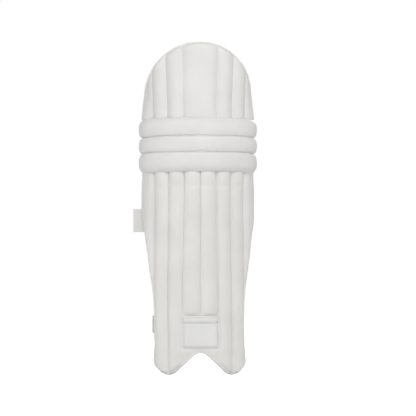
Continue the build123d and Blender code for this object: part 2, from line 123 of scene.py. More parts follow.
def plan(s, out):
    """Plan point, s round the backing from the front and `out` off it."""
    s = np.asarray(s, float)
    a, side, t = np.abs(s), np.sign(s), np.abs(heading(s))
    front = a < FRONT_RUN
    x = np.where(front, (FRONT_R + out) * np.sin(t), CORNER_X + (CORNER_R + out) * np.sin(t))
    y = np.where(front, CENTRE - (FRONT_R + out) * np.cos(t), CORNER_Y - (CORNER_R + out) * np.cos(t))
    y = y + np.maximum(0, a - FRONT_RUN - CORNER_RUN)
    return x * side, y


def on_wall(s, z, out):
    """Point of the pad, as an array of x, y, z in metres."""
    x, y = plan(s, out)
    z = np.asarray(z, float) + 0 * x
    return np.stack([x, y - kick(z), z], -1) * MM


def arc3(p, q, r, n=12):
    """Points from p to r on the circle through p, q and r."""
    p, q, r = complex(*p), complex(*q), complex(*r)
    w = (r - p) / (q - p)
    centre = p + (q - p) * (w - abs(w) ** 2) / 2j / w.imag
    turn = cmath.phase((r - centre) / (p - centre))
    points = [centre + (p - centre) * cmath.exp(1j * turn * i / n) for i in range(n + 1)]
    return [(a.real, a.imag) for a in points]


def rounded(points, radius):
    """A line through points with its inner corners rounded."""
    out = [points[0]]
    for a, b, c in zip(points, points[1:], points[2:]):
        a, b, c = Vector(a), Vector(b), Vector(c)
        u, v = (a - b).normalized(), (c - b).normalized()
        half = u.angle(v) / 2
        run = radius / math.tan(half)
        centre = b + (u + v).normalized() * radius / math.sin(half)
        p, q = b + u * run, b + v * run
        mid = centre + (b - centre).normalized() * radius
        out += arc3(p, mid, q, 6)
    return out + [points[-1]]


def front_outline():
    """The pad's outline from the front, as points of (x, z)."""
    def arc(radius, middle_z, angles):
        return [(radius * math.cos(a), middle_z + radius * math.sin(a)) for a in angles]

    crown_z = CROWN_TOP - CROWN_R
    end = math.asin((SHOULDER - crown_z) / CROWN_R)
    half = arc(CROWN_R, crown_z, np.linspace(math.pi / 2, end, 24))
    half += [(BEYOND, SHOULDER), (BEYOND, TAPER)]
    half += arc3((CALF_HALF, TAPER), CALF_MID, SHIN)
    foot = (FOOT_HALF, LOBE_CORNER + LOBE_R)
    half += arc3(SHIN, ANKLE, foot)
    slope = math.radians(90 - ARCH_SLOPE)
    arch_z = ARCH_APEX - ARCH_R
    arch = arc(ARCH_R, arch_z, np.linspace(slope, math.pi / 2, 8))
    half += rounded([foot, (FOOT_HALF, LOBE_CORNER), (LOBE_X, LOBE_BOTTOM), arch[0]], LOBE_R)
    half += arch[1:]
    return np.array(half + [(-x, z) for x, z in reversed(half[1:-1])])


def polygon_distance(px, pz, polygon):
    """Signed distance to a polygon, negative inside."""
    shape = px.shape
    p = np.stack([px.ravel(), pz.ravel()], -1)
    a, b = polygon, np.roll(polygon, -1, 0)
    best = np.full(len(p), 1e9)
    inside = np.zeros(len(p), bool)
    for (ax, az), (bx, bz) in zip(a, b):
        dx, dz = bx - ax, bz - az
        length = dx * dx + dz * dz
        if length < 1e-9:
            continue
        t = np.clip(((p[:, 0] - ax) * dx + (p[:, 1] - az) * dz) / length, 0, 1)
        best = np.minimum(best, (p[:, 0] - ax - t * dx) ** 2 + (p[:, 1] - az - t * dz) ** 2)
        if abs(dz) > 1e-9:
            cross = (az > p[:, 1]) != (bz > p[:, 1])
            inside ^= cross & (p[:, 0] < ax + (p[:, 1] - az) * dx / dz)
    return (np.sqrt(best) * np.where(inside, -1, 1)).reshape(shape)


FRONT = front_outline()
SHOULDER_DROP, SHOULDER_RISE = SHOULDER_DEPTH - SIDE_EDGE, SHOULDER_TOP - KNEE_TOP
SHOULDER_R = (SHOULDER_DROP**2 + SHOULDER_RISE**2) / (2 * SHOULDER_DROP)


def side_edge(z):
    """How far back the side walls reach at a height."""
    rise = np.clip(z - KNEE_TOP, 0, SHOULDER_RISE)
    top = SHOULDER_R - np.sqrt(SHOULDER_R**2 - rise**2)
    t = np.clip((SWEEP_START - z) / (SWEEP_START - SWEEP_END), 0, 1)
    sweep = np.where(t < 0.5, 2 * t * t, 1 - 2 * (1 - t) ** 2) * (SWEEP_DEPTH - SIDE_EDGE)
    cut = SHOULDER_CUT * smooth((z - SHOULDER_CUT_Z) / 30) * smooth((SHOULDER_TOP - z) / 25)
    return -SIDE_EDGE - top - sweep - cut


def edge_out(s, z):
    """How far off the backing the outline is cut: further where the wall turns back, less on the hat."""
    full = np.interp(z, [KNEE_BOTTOM, KNEE_TOP], [EDGE_OUT_SHIN, EDGE_OUT_HAT])
    return EDGE_OUT + full * smooth((np.abs(heading(s)) - TURN) / EDGE_OUT_TURN)


def edge(s, z, inset):
    """Below 0 inside the pad's edge, which every layer shares square to the wall."""
    x, y = plan(s, edge_out(s, z))
    front = polygon_distance(x, z + 0 * x, FRONT)
    front = front - LOBE_CUT * smooth((np.abs(s) - LOBE_CUT_S) / 16) * smooth((LOBE_CUT_Z - z) / 20)
    # the rear edge slopes at the sweep, so this is a little steeper than a distance
    back = (y - kick(z) - side_edge(z)) * 0.9
    return np.maximum(front, back) + inset


# ---------- making meshes ----------

def mesh_object(name, points, faces):
    mesh = bpy.data.meshes.new(name)
    mesh.from_pydata([tuple(p) for p in points], [], [tuple(f) for f in faces])
    mesh.validate()
    mesh.shade_smooth()
    obj = bpy.data.objects.new(name, mesh)
    bpy.context.scene.collection.objects.link(obj)
    return obj


def clean(obj, distance=0.15):
    """Merges points that meet and turns every face outwards."""
    bm = bmesh.new()
    bm.from_mesh(obj.data)
    bmesh.ops.remove_doubles(bm, verts=bm.verts, dist=distance * MM)
    bmesh.ops.dissolve_degenerate(bm, dist=0.02 * MM, edges=bm.edges)
    bmesh.ops.recalc_face_normals(bm, faces=bm.faces)
    bm.to_mesh(obj.data)
    bm.free()
    return obj


def slopes(field, u, v, e):
    """A field's values, and how it rises along u and along v."""
    f = field(u, v)
    return f, (field(u + e, v) - f) / e, (field(u, v + e) - f) / e


def trimmed(u, v, field, step):
    """Fits a grid to where field(u, v) is below 0. Gives its points and its faces."""
    u, v = u.copy(), v.copy()
    f, fu, fv = slopes(field, u, v, 0.2)
    near = np.abs(f) < 0.5 * step * np.hypot(fu, fv)
    for _ in range(3):
        g = np.maximum(fu * fu + fv * fv, 0.01)
        u[near] -= (f * fu / g)[near]
        v[near] -= (f * fv / g)[near]
        f, fu, fv = slopes(field, u, v, 0.2)
    kept = near | (f < 0)
    rows, columns = u.shape
    index = np.arange(rows * columns).reshape(rows, columns)
    faces = []
    for i in range(rows - 1):
        for j in range(columns - 1):
            ring = [(i, j), (i, j + 1), (i + 1, j + 1), (i + 1, j)]
            ring = [index[c] for c in ring if kept[c]]
            if len(ring) > 2:
                faces.append(ring)
    used = sorted({c for face in faces for c in face})
    place = {c: n for n, c in enumerate(used)}
    faces = [[place[c] for c in face] for face in faces]
    return u.ravel()[used], v.ravel()[used], faces


def rims(faces):
    """Edges with one face, in that face's direction."""
    seen = {}
    for face in faces:
        for a, b in zip(face, face[1:] + face[:1]):
            key = (min(a, b), max(a, b))
            seen[key] = None if key in seen else (a, b)
    return [pair for pair in seen.values() if pair]


def rim_line(u, v, faces, rounds):
    """Closed line of (u, v) round the rim of a trimmed grid, smoothed a number of times."""
    follow = dict(rims(faces))
    start = next(iter(follow))
    loop, at = [start], follow[start]
    while at != start:
        loop.append(at)
        at = follow[at]
    line = np.stack([u[loop], v[loop]], -1)
    for _ in range(rounds):
        line = 0.25 * np.roll(line, 1, 0) + 0.5 * line + 0.25 * np.roll(line, -1, 0)
    return line


def run_along(line):
    """Distance along a line at each of its points."""
    return np.concatenate([[0], np.cumsum(np.linalg.norm(np.diff(line, axis=0), axis=1))])


def points_at(at, run, line):
    """Values at distances `at` along a line whose own points lie at `run`."""
    return np.stack([np.interp(at, run, column) for column in line.T], -1)


def closed_form(name, u, v, faces, top, bottom, place=on_wall):
    """Closed form between two heights over a trimmed grid."""
    n = len(u)
    points = np.concatenate([place(u, v, top), place(u, v, bottom)])
    all_faces = [list(f) for f in faces] + [[c + n for c in reversed(f)] for f in faces]
    all_faces += [(b, a, a + n, b + n) for a, b in rims(faces)]
    return clean(mesh_object(name, points, all_faces))


def unit(vectors):
    """One vector, or each of a list of them, at length 1."""
    return vectors / np.linalg.norm(vectors, axis=-1, keepdims=True)


def grid(u_lines, v_lines):
    return np.meshgrid(np.asarray(u_lines, float), np.asarray(v_lines, float))


def ripple(a, b, scale, seed):
    """Smooth noise of about -1 to 1 over a list of points."""
    flat = zip(np.ravel(a) / scale, np.ravel(b) / scale)
    return np.array([noise.noise(Vector((p, q, seed))) for p, q in flat]).reshape(np.shape(a))


def dome(distance, radius):
    """Rises from 0 at an edge to 1, as a quarter circle, `radius` in from it."""
    t = np.clip(distance / radius, 0, 1)
    return np.sqrt(1 - (1 - t) ** 2)


def height_of(height, u, *rest):
    """Heights given as one number or as a function of the place."""
    return height(u, *rest) if callable(height) else np.full_like(u, height)


def flat_pad(name, field, u_lines, v_lines, step, top, bottom, place=on_wall):
    """Closed form over the part of a grid where a field is below 0."""
    u, v = grid(u_lines, v_lines)
    uu, vv, faces = trimmed(u, v, field, step)
    f = -field(uu, vv)
    return closed_form(name, uu, vv, faces, height_of(top, uu, vv, f), height_of(bottom, uu, vv, f), place)


def block(half_u, mid_v, half_v, corner, mid_u=0.0):
    """Field of a rounded rectangle."""
    def field(u, v):
        qu = np.abs(u - mid_u) - half_u + corner
        qv = np.abs(v - mid_v) - half_v + corner
        return np.hypot(np.maximum(qu, 0), np.maximum(qv, 0)) + np.minimum(np.maximum(qu, qv), 0) - corner
    return field


def tube_faces(rings, around, closed=False, first=0):
    """Faces of a tube of rings of points, counted from `first`: closed on itself or capped."""
    faces = []
    for i in range(rings if closed else rings - 1):
        a, b = first + i * around, first + (i + 1) % rings * around
        faces += [(a + k, a + (k + 1) % around, b + (k + 1) % around, b + k) for k in range(around)]
    if not closed:
        last = first + (rings - 1) * around
        faces += [tuple(range(first, first + around)), tuple(reversed(range(last, last + around)))]
    return faces


def sweep(name, path, section, closed, normals):
    """Tube of a section of (side, up) offsets along a path in metres, up along its normals."""
    along = unit(np.roll(path, -1, 0) - np.roll(path, 1, 0) if closed else np.gradient(path, axis=0))
    up = unit(normals - (normals * along).sum(1)[:, None] * along)
    side = np.cross(along, up)
    points = []
    for p, e, f in zip(path, side, up):
        points += [p + e * a * MM + f * b * MM for a, b in section]
    return clean(mesh_object(name, points, tube_faces(len(path), len(section), closed)), 0.01)


def oval(side, up, n, power=1.0):
    """Section of an oval, squarer for a smaller power."""
    ring = []
    for i in range(n):
        t = 2 * math.pi * i / n
        c, s = math.cos(t), math.sin(t)
        ring.append((side * math.copysign(abs(c) ** power, c), up * math.copysign(abs(s) ** power, s)))
    return ring


# ---------- materials ----------

def material(name):
    mat = bpy.data.materials.new(name)
    mat.use_nodes = True
    tree = mat.node_tree
    return mat, tree, tree.nodes["Principled BSDF"]


def node(tree, kind, inputs=None, **settings):
    new = tree.nodes.new("ShaderNode" + kind)
    for key, value in settings.items():
        setattr(new, key, value)
    for key, value in (inputs or {}).items():
        if isinstance(value, bpy.types.NodeSocket):
            tree.links.new(value, new.inputs[key])
        else:
            new.inputs[key].default_value = value
    return new


def tint(tree, shader, fac, low, high, dark, light):
    """Colours a shader from dark to light as fac goes from low to high."""
    ramp = node(tree, "ValToRGB", {"Fac": fac})
    for element, position, colour in zip(ramp.color_ramp.elements, (low, high), (dark, light)):
        element.position, element.color = position, (*colour, 1)
    tree.links.new(ramp.outputs["Color"], shader.inputs["Base Color"])


def vary_roughness(tree, shader, fac, low, high):
    rough = node(tree, "MapRange", {"Value": fac, "To Min": low, "To Max": high})
    tree.links.new(rough.outputs["Result"], shader.inputs["Roughness"])


def leather(name, dark, light, roughness, grain=0.25, crumple=0.35):
    """Coated polyurethane: fine pebbled grain, soft creases and a faint change of tone."""
    mat, tree, shader = material(name)
    place = node(tree, "TexCoord").outputs["Object"]
    pebbles = node(tree, "TexVoronoi", {"Vector": place, "Scale": 900.0}, feature="SMOOTH_F1")
    pores = node(tree, "TexNoise", {"Vector": place, "Scale": 1500.0, "Detail": 3.0})
    creases = node(tree, "TexNoise", {"Vector": place, "Scale": 55.0, "Detail": 4.0, "Distortion": 0.6})
    tone = node(tree, "TexNoise", {"Vector": place, "Scale": 14.0, "Detail": 3.0})
    tint(tree, shader, tone.outputs["Fac"], 0.3, 0.7, dark, light)
    vary_roughness(tree, shader, pores.outputs["Fac"], roughness - 0.06, roughness + 0.08)
    shader.inputs["Specular IOR Level"].default_value = 0.35
    low = node(tree, "Bump", {"Strength": crumple, "Distance": 0.0006, "Height": creases.outputs["Fac"]})
    fine = node(tree, "Bump", {"Strength": grain, "Distance": 0.00012,
                               "Height": pebbles.outputs["Distance"], "Normal": low.outputs["Normal"]})
    tree.links.new(fine.outputs["Normal"], shader.inputs["Normal"])
    return mat


WAVE_PERIOD = 0.32  # metres between the ribs of a wave texture of scale 1


def woven(name, dark, light, roughness, pitch, depth, sheen=0.15):
    """Plain weave: two crossed sets of ribs, `pitch` millimetres apart and `depth` deep."""
    mat, tree, shader = material(name)
    place = node(tree, "TexCoord").outputs["Object"]
    scale = 1000 / pitch * WAVE_PERIOD
    warp, weft = (
        node(tree, "TexWave", {"Vector": place, "Scale": scale, "Distortion": 0.4, "Detail": 1.0},
             wave_type="BANDS", bands_direction=direction)
        for direction in ("Z", "DIAGONAL")
    )
    both = node(tree, "Math", {0: warp.outputs["Fac"], 1: weft.outputs["Fac"]}, operation="MULTIPLY")
    tone = node(tree, "TexNoise", {"Vector": place, "Scale": 60.0, "Detail": 4.0})
    mixed = node(tree, "Math", {0: both.outputs[0], 1: tone.outputs["Fac"]}, operation="ADD")
    tint(tree, shader, mixed.outputs[0], 0.25, 1.1, dark, light)
    shader.inputs["Roughness"].default_value = roughness
    shader.inputs["Sheen Weight"].default_value = sheen
    bump = node(tree, "Bump", {"Strength": 0.6, "Distance": depth * MM, "Height": both.outputs[0]})
    tree.links.new(bump.outputs["Normal"], shader.inputs["Normal"])
    return mat


def speckled(name, dark, light, roughness, scale, depth, stretch=(1, 1, 1)):
    """Foam, pile, thread or cane: a noise, which can be stretched along a grain."""
    mat, tree, shader = material(name)
    place = node(tree, "TexCoord").outputs["Object"]
    mapped = node(tree, "Mapping", {"Vector": place, "Scale": stretch})
    cells = node(tree, "TexNoise", {"Vector": mapped.outputs["Vector"], "Scale": scale, "Detail": 5.0})
    tint(tree, shader, cells.outputs["Fac"], 0.3, 0.7, dark, light)
    vary_roughness(tree, shader, cells.outputs["Fac"], roughness - 0.08, min(1.0, roughness + 0.08))
    bump = node(tree, "Bump", {"Strength": 0.5, "Distance": depth * MM, "Height": cells.outputs["Fac"]})
    tree.links.new(bump.outputs["Normal"], shader.inputs["Normal"])
    return mat


# leather: dark, light, roughness, grain, crumple
FACING_MAT = leather("facing_leather", (0.765, 0.758, 0.735), (0.81, 0.803, 0.782), 0.46)
HAT_MAT = leather("top_hat_leather", (0.765, 0.760, 0.745), (0.81, 0.806, 0.792), 0.46)
KNEE_MAT = leather("knee_leather", (0.77, 0.765, 0.75), (0.815, 0.81, 0.797), 0.5, 0.3, 0.6)
TRIM_MAT = leather("trim_leather", (0.85, 0.85, 0.83), (0.89, 0.89, 0.875), 0.38, 0.15, 0.2)
PATCH_MAT = leather("patch_leather", (0.775, 0.775, 0.76), (0.81, 0.81, 0.795), 0.35, 0.12, 0.15)
# cloth: dark, light, roughness, pitch and depth of the weave, sheen
LINING_MAT = woven("lining_cloth", (0.75, 0.745, 0.715), (0.86, 0.855, 0.835), 0.85, 1.2, 0.15)
BOLSTER_MAT = woven("bolster_cloth", (0.79, 0.785, 0.76), (0.88, 0.875, 0.855), 0.8, 0.9, 0.12)
WEBBING_MAT = woven("webbing", (0.62, 0.62, 0.59), (0.80, 0.80, 0.77), 0.7, 1.6, 0.3)
TAB_MAT = woven("tab_satin", (0.80, 0.80, 0.79), (0.88, 0.88, 0.87), 0.45, 0.5, 0.05, 0.3)
# the rest: dark, light, roughness, scale, depth, stretch
HOOK_MAT = speckled("hook_pile", (0.55, 0.55, 0.53), (0.80, 0.80, 0.78), 0.6, 1400.0, 0.5)
LOOP_MAT = speckled("loop_pile", (0.66, 0.66, 0.64), (0.84, 0.84, 0.82), 0.9, 700.0, 0.7)
FOAM_MAT = speckled("foam", (0.72, 0.70, 0.62), (0.82, 0.80, 0.73), 0.9, 900.0, 0.3)
CANE_MAT = speckled("cane", (0.42, 0.30, 0.16), (0.66, 0.50, 0.30), 0.5, 300.0, 0.3, (1, 1, 0.06))
THREAD_MAT = speckled("thread", (0.78, 0.78, 0.75), (0.90, 0.90, 0.88), 0.6, 2500.0, 0.05)


def dress(obj, mat, body=None, nodes=()):
    """Gives a piece its material and the body it rides on, and hides the CAD nodes it stands for."""
    obj.data.materials.clear()
    obj.data.materials.append(mat)
    if nodes:
        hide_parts(*nodes)
    if body:
        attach(obj, body)
    return obj


# ---------- channelled covers ----------

SHIN_SEAMS, HAT_SEAMS = (-3, -2, -1, 0, 1, 2, 3), (-3, -2, -1, 1, 2, 3)
SEAM_STEP = 0.9  # the grid's step beside a seam
TUCK = 9.0  # how far a cover runs in under the knee rolls as it rounds off
EDGE_ROLL = 8.0  # how far from the binding it starts to round off

# The first, second and third seams' places as shares of even pitches: on the hat at the knee, what
# the crown adds, on the shin at the knee, and what the foot adds.
SEAM_SHARES = ((1.0, 0.075, 0.955, 0.115), (1.0, 0.065, 0.96, 0.03), (0.995, 0.055, 0.95, 0.02))


def seam_shares(z):
    """Where the first, second and third seams run at a height, in even pitches."""
    low, high = smooth((-100 - z) / 260), smooth((z - KNEE_TOP) / 150)
    hat = z > KNEE_BOTTOM + 20
    return [n * np.where(hat, on_hat + crown * high, on_shin + foot * low)
            for n, (on_hat, crown, on_shin, foot) in enumerate(SEAM_SHARES, start=1)]


def seam_lines(seams, per_channel):
    """Grid positions across the wall, in channel counts: close together at each seam."""
    lines = []
    marks = [-COVER_END, *seams, COVER_END]
    for a, b, n in zip(marks, marks[1:], per_channel):
        t = np.linspace(0, 1, n + 1)
        near = SEAM_STEP / ((b - a) * PITCH)
        inner = np.concatenate([[0], [near], t[1:-1], [1 - near]])
        lines += list(a + (b - a) * inner)
    return lines + [COVER_END]


def between(a, marks, values):
    """Straight runs through pairs of marks and values. The last run carries on."""
    def run(k):
        return values[k] + (a - marks[k]) * (values[k + 1] - values[k]) / (marks[k + 1] - marks[k])
    last = len(marks) - 2
    value = run(last)
    for k in reversed(range(last)):
        value = np.where(a < marks[k + 1], run(k), value)
    return value


def spread(pitches, z):
    """Distance round the wall of a seam count."""
    run = between(np.abs(pitches), (0, 1, 2, 3, COUNT_END), (0, *seam_shares(z), COUNT_END))
    return np.sign(pitches) * run * PITCH


def count_at(s, z):
    """Seam count of a place on the wall."""
    run = between(np.abs(s) / PITCH, (0, *seam_shares(z), COUNT_END), (0, 1, 2, 3, COUNT_END))
    return np.sign(s) * run


def channel_height(pitches, z, seams, rise, power, bulge):
    """Height of the cover over the backing for a position in seam counts."""
    marks = np.array([-COVER_END, *seams, COVER_END])
    k = np.clip(np.searchsorted(marks, pitches, side="right") - 1, 0, len(marks) - 2)
    a, b = marks[k], marks[k + 1]
    v = np.clip(np.abs(2 * (pitches - a) / (b - a) - 1), 0, 1)
    outer = np.clip((np.abs(pitches) - FRONT_SEAMS) / (COVER_END - FRONT_SEAMS), 0, 1)
    # the hat's double channel is flatter in the middle
    wide = np.where((b - a > 1.5) & (outer == 0), 4.0, power)
    profile = (1 - v**wide) ** bulge * np.where(outer > 0, 1.25 - 0.3 * outer, 1)
    puff = 1 + 0.05 * ripple(k * 7.0, z, 55.0, 3.0)
    return FACING + GAP + (rise - FACING) * profile * puff


def cover(body, seams, per_channel, rows, rise_at, mat, seed, power, bulge):
    """Facing: puffed between its seams, and rolled in at the knee and the binding."""
    def field(s, z):
        return edge(s, z, PIPING)

    pitches, v = grid(seam_lines(seams, per_channel), rows)
    uu, vv, faces = trimmed(spread(pitches, v), v, field, 3.3)
    counts = count_at(uu, vv)
    f, fu, fv = slopes(field, uu, vv, 0.3)
    inward = np.maximum(0, -f / np.maximum(np.hypot(fu, fv), 0.3))
    top = channel_height(counts, vv, seams, rise_at(uu, vv), power, bulge)
    if body == "shin":
        top = shape_foot(top, counts, uu, vv)
    knee = rows[-1] - vv if body == "shin" else vv - rows[0]
    top = FACING + (top - FACING) * dome(inward, EDGE_ROLL) * (0.12 + 0.88 * dome(knee, TUCK))
    top += 0.25 * ripple(uu, vv, 22.0, seed) * dome(inward, 9.0)
    obj = closed_form(f"{body}_cover", uu, vv, faces, top, GAP)
    dress(obj, mat, body, [f"{body}_facing"])


def shape_foot(top, counts, s, z):
    """Ends the two middle channels above the instep, and creases the shin under the knee."""
    base = FACING + GAP
    a = np.abs(counts)
    middle = 1 - smooth((a - 0.96) / 0.06)
    ended = dome(z - CHANNEL_END, 13.0)
    inner = base + (top - base) * ended
    top = top * (1 - middle) + inner * middle
    # below the panel the channels either side run into each other and fall away to the arch
    slope = np.clip(-edge(s, z, PIPING) / 20, 0, 1)
    joined = 4.0 * slope * smooth((ARCH_APEX + 14 - z) / 9) * (1 - smooth((a - 1.2) / 0.6))
    beside = 2.0 * np.exp(-((a - 1.03) / 0.07) ** 2) * smooth((CHANNEL_END + 6 - z) / 8)
    top = np.maximum(top, base + np.maximum(joined, beside))
    # the crease where the shin padding folds under the knee
    crease = np.exp(-((z - CREASE_Z) / 4.5) ** 2) * (1 - smooth((a - 2.6) / 0.6))
    return base + (top - base) * (1 - 0.2 * crease)


def shin_rise(s, z):
    """Fuller in front above the crease, flatter there at the sides, and thinner over the foot."""
    above, turned = smooth((z + 110) / 40), smooth((np.abs(s) - FRONT_RUN) / 16)
    return RISE * (1 + above * (0.08 - 0.26 * turned) - 0.05 * turned - 0.12 * smooth((-420 - z) / 60))


def hat_rise(s, z):
    """The two outer channels thin out towards the shoulders."""
    outer = smooth((np.abs(s) - FRONT_RUN) / 16)
    thin = np.interp(z, [KNEE_TOP - 4, 84, 110, 137], [9.3, 6.0, 3.2, 2.0]) / RISE
    return RISE * ((1 - outer) + outer * np.minimum(1, thin))


shin_rows = np.arange(-516.0, KNEE_BOTTOM + TUCK, 3.0)
hat_rows = np.arange(KNEE_TOP - 8.0, 234.0, 3.0)
cover("shin", SHIN_SEAMS, (18, 14, 14, 14, 14, 14, 14, 18), shin_rows, shin_rise,
      FACING_MAT, seed=11.0, power=2.3, bulge=0.72)
cover("top_hat", HAT_SEAMS, (18, 14, 14, 24, 14, 14, 18), hat_rows, hat_rise,
      HAT_MAT, seed=17.0, power=2.0, bulge=0.92)

FOAM_INSET = BIND + 3.0
SEAM_GAP = 0.06  # between a foam roll and a seam, in pitches
COVER_ROOM = 4.2  # how much lower the rolls are than the cover


def foam_roll(node_name, first, last, rows, body, rise_at):
    """Foam roll in the channel between two seams."""
    lo, hi = first + SEAM_GAP, last - SEAM_GAP
    pitches, v = grid(np.linspace(lo, hi, 15), np.arange(rows[0], rows[-1], 6.0))
    uu, vv, faces = trimmed(spread(pitches, v), v, lambda s, z: edge(s, z, FOAM_INSET), 2.6)
    mid, half = (lo + hi) / 2, (hi - lo) / 2
    w = np.clip(np.abs(count_at(uu, vv) - mid) / half, 0, 1)
    knee = rows[-1] - TUCK - vv if body == "shin" else vv - rows[0] - TUCK
    fade = dome(-edge(uu, vv, FOAM_INSET), 9.0) * dome(knee, 8.0)
    if body == "shin" and abs(mid) < 1:
        fade = fade * dome(vv - CHANNEL_END - 4, 12.0)
    room = np.maximum(0.2, rise_at(uu, vv) - COVER_ROOM)
    top = 2 * GAP + 0.4 + room * (1 - w**2.3) ** 0.8 * fade
    obj = closed_form(node_name + "_stuffing", uu, vv, faces, top, 2 * GAP)
    dress(obj, FOAM_MAT, body, [node_name])


for body, seams, rows, rise_at in (
    ("shin", SHIN_SEAMS, shin_rows, shin_rise), ("top_hat", HAT_SEAMS, hat_rows, hat_rise),
):
    marks = (-COVER_END, *seams, COVER_END)
    for number, (first, last) in enumerate(zip(marks, marks[1:]), start=1):
        foam_roll(f"{body}_roll_{number}", first, last, rows, body, rise_at)

for name in ("shin_canes", "top_hat_canes"):
    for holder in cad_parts[name].material_slots:
        holder.material = CANE_MAT


# ---------- knee rolls ----------

ROLL_END, SAG, SEAM_FALL = WALL_END - 1.5, 1.6, 5.6
VOXEL, SWELL_CAP, SWELL_FRAMES, PRESSURE = 4.0, 1.2, 20, 4.0
HELD_BAND = 2.5  # how near a seam the cloth is held
KNEE_SEED = 2.0  # the middle roll's, which the gusset follows


def apply_modifiers(obj):
    """Swaps a mesh for what its modifiers make of it."""
    depsgraph = bpy.context.evaluated_depsgraph_get()
    mesh = bpy.data.meshes.new_from_object(obj.evaluated_get(depsgraph))
    obj.modifiers.clear()
    obj.data = mesh


def swell(obj, pinned):
    """Remeshes a form, blows it up as cloth held along its seams, and keeps each point within the cap."""
    scene = bpy.context.scene
    remesh = obj.modifiers.new("remesh", "REMESH")
    remesh.mode, remesh.voxel_size = "VOXEL", VOXEL * MM
    apply_modifiers(obj)
    mesh = obj.data
    start = np.array([v.co[:] for v in mesh.vertices])
    group = obj.vertex_groups.new(name="held")
    for i in np.nonzero(pinned(start))[0]:
        group.add([int(i)], 1.0, "REPLACE")
    cloth = obj.modifiers.new("cloth", "CLOTH")
    settings = cloth.settings
    settings.quality, settings.mass = 6, 0.2
    settings.use_pressure, settings.uniform_pressure_force = True, PRESSURE
    settings.tension_stiffness = settings.compression_stiffness = 18
    settings.shear_stiffness, settings.bending_stiffness = 6, 1.2
    settings.vertex_group_mass = "held"
    settings.effector_weights.gravity = 0
    cloth.collision_settings.use_collision = False
    cloth.point_cache.frame_start, cloth.point_cache.frame_end = 1, SWELL_FRAMES
    for f in range(1, SWELL_FRAMES + 1):
        scene.frame_set(f)
    depsgraph = bpy.context.evaluated_depsgraph_get()
    blown = obj.evaluated_get(depsgraph).to_mesh()
    end = np.array([v.co[:] for v in blown.vertices])
    obj.evaluated_get(depsgraph).to_mesh_clear()
    obj.modifiers.clear()
    obj.vertex_groups.clear()
    scene.frame_set(1)
    move = end - start
    length = np.maximum(np.linalg.norm(move, axis=1), 1e-9)
    move *= np.minimum(1, SWELL_CAP * MM / length)[:, None]
    mesh.vertices.foreach_set("co", (start + move).ravel())
    mesh.update()
    sub = obj.modifiers.new("sub", "SUBSURF")
    sub.levels = sub.render_levels = 1
    apply_modifiers(obj)
    obj.data.shade_smooth()


def bow(s):
    """The rolls sit a little higher in front than at the sides, and sag by `SAG` all round."""
    x, y = plan(s, 0)
    return KNEE_BOW * (2 * np.clip((CORNER_Y - y) / (FRONT_DEPTH + CORNER_Y), 0, 1) - 1) - SAG


def roll_crest(s, seed):
    """Height of a roll's crest round the wall, how full the roll is there, and its fall at a seam."""
    fade = dome(min(s + ROLL_END, ROLL_END - s), ROLL_ROUND)
    angle = abs(float(heading(s)))
    crest = ROLL_SIDE + ROLL_PROUD * math.cos(angle) - GAP
    crest *= (0.35 + 0.65 * fade) * (1 + 0.03 * noise.noise(Vector((s / 45, seed, 0))))
    return crest, fade, SEAM_FALL * (0.55 + 0.45 * math.sin(angle)) * min(1, crest / 16)


def knee_roll(name, low, high, body, seed, outer_low=0, outer_high=0):
    """Stuffed roll across the knee, sewn down along its two long edges, where it falls away.

    outer_low and outer_high are its falls at a seam that it doesn't share with another roll.
    """
    middle, half = (low + high) / 2, (high - low) / 2 - 0.15
    turn = np.linspace(-math.pi / 2, math.pi / 2, 23)
    lift = np.linspace(0, 1, 5)[1:-1]
    back = np.linspace(1, -1, 9)
    round_off = ROLL_ROUND * (1 - np.cos(np.linspace(0.12, math.pi / 2, 7)))
    stations = np.concatenate([
        -ROLL_END + round_off,
        np.linspace(-ROLL_END + ROLL_ROUND, ROLL_END - ROLL_ROUND, 92)[1:-1],
        ROLL_END - round_off[::-1],
    ])
    points, faces = [], []
    for s in stations:
        crest, fade, fall = roll_crest(s, seed)
        tall = half * (0.72 + 0.28 * fade)
        falls = np.minimum(np.where(turn < 0, outer_low or fall, outer_high or fall), crest - 1)
        front_h = crest - falls * np.abs(np.sin(turn)) ** 2.6
        h = np.concatenate([front_h, front_h[-1] * (1 - lift), np.zeros_like(back), front_h[0] * lift])
        q = np.concatenate([np.sin(turn), np.ones_like(lift), back, -np.ones_like(lift)])
        z = middle + tall * q + float(bow(s))
        points.append(on_wall(np.full(len(h), s), z, GAP + 0.2 + h))
    around, n = len(points[0]), len(stations)
    for i in range(n - 1):
        a, b = i * around, (i + 1) * around
        faces += [(a + k, b + k, b + (k + 1) % around, a + (k + 1) % around) for k in range(around)]
    faces += [tuple(range(around)), tuple(reversed(range((n - 1) * around, n * around)))]
    obj = clean(mesh_object(name + "_cover", np.concatenate(points), faces), 0.05)
    def held(p):
        x, y, z = p.T / MM
        s = np.arctan2(x, CENTRE - y) * FRONT_R
        return np.abs(np.abs(z - middle - bow(s)) - half) < HELD_BAND
    swell(obj, held)
    dress(obj, KNEE_MAT, body, [name])


knee_roll("knee_roll_lower", KNEE_BOTTOM, LOWER_SEAM, "shin", 1.0, outer_low=12.0)
knee_roll("knee_roll_middle", LOWER_SEAM, UPPER_SEAM, "knee", KNEE_SEED)
knee_roll("knee_roll_upper", UPPER_SEAM, KNEE_TOP, "top_hat", 3.0, outer_high=10.0)


def bend(obj):
    """Bakes a piece's placement into its mesh points."""
    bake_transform(obj)


